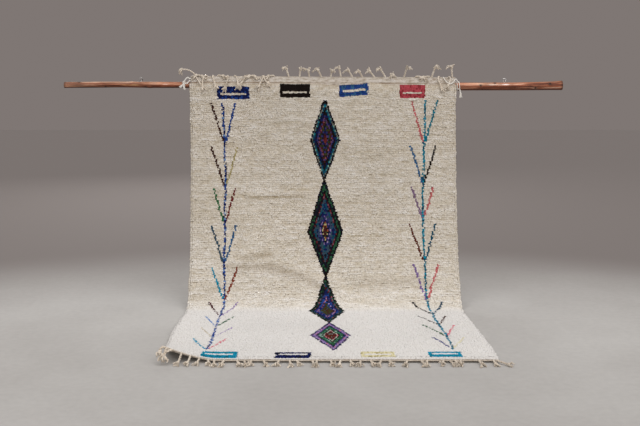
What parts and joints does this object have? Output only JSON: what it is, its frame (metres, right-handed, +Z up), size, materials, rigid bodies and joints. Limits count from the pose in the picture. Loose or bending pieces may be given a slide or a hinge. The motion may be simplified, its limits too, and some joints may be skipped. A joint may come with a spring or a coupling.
{
  "type": "azilal rug on a wooden pole",
  "caption": "Fringed pile rug tied in front of a peeled wooden pole, its lower half bending forward to lie flat on the ground.",
  "frame": {"origin": "under the lying half of the rug, on the level that it rests on", "axes": "+X along the pole to the right as seen from the pile side, +Y to the back, +Z up"},
  "size_m": [2.878, 1.554, 1.3615],
  "materials": {
    "rug_wool": "hand-knotted wool pile",
    "fringe_yarn": "twisted wool yarn",
    "pole_wood": "peeled and worn",
    "tie_yarn": "soft cotton yarn",
    "eye_steel": "zinc plated wire"
  },
  "bodies": {
    "root": {"rug": "rug_wool", "fringe_top": "fringe_yarn", "fringe_front": "fringe_yarn", "pole": "pole_wood", "tie_left": "tie_yarn", "tie_right": "tie_yarn", "hanger_eye_left": "eye_steel", "hanger_eye_right": "eye_steel"}
  },
  "joints": []
}
